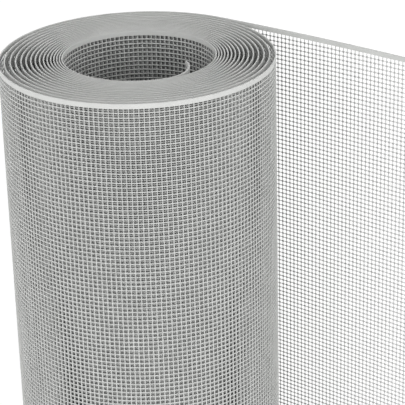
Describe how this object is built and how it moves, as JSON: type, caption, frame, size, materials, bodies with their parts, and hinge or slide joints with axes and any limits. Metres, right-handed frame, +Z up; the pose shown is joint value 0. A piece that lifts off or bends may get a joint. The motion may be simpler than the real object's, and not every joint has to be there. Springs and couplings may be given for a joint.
{
  "type": "roll of plastic balcony netting",
  "caption": "Upright roll of light grey plastic square-mesh netting with an open bore, a curled inner end and an unrolled free end.",
  "frame": {"origin": "middle of the footprint of roll and free end, on the surface that the roll stands on", "axes": "+Z up along the roll's axis; the free end runs off to +X and a little towards -Y"},
  "size_m": [0.4784, 0.2868, 1],
  "materials": {
    "netting": "light grey moulded plastic with a soft satin sheen"
  },
  "bodies": {
    "root": {"netting_roll": "netting"}
  },
  "joints": []
}
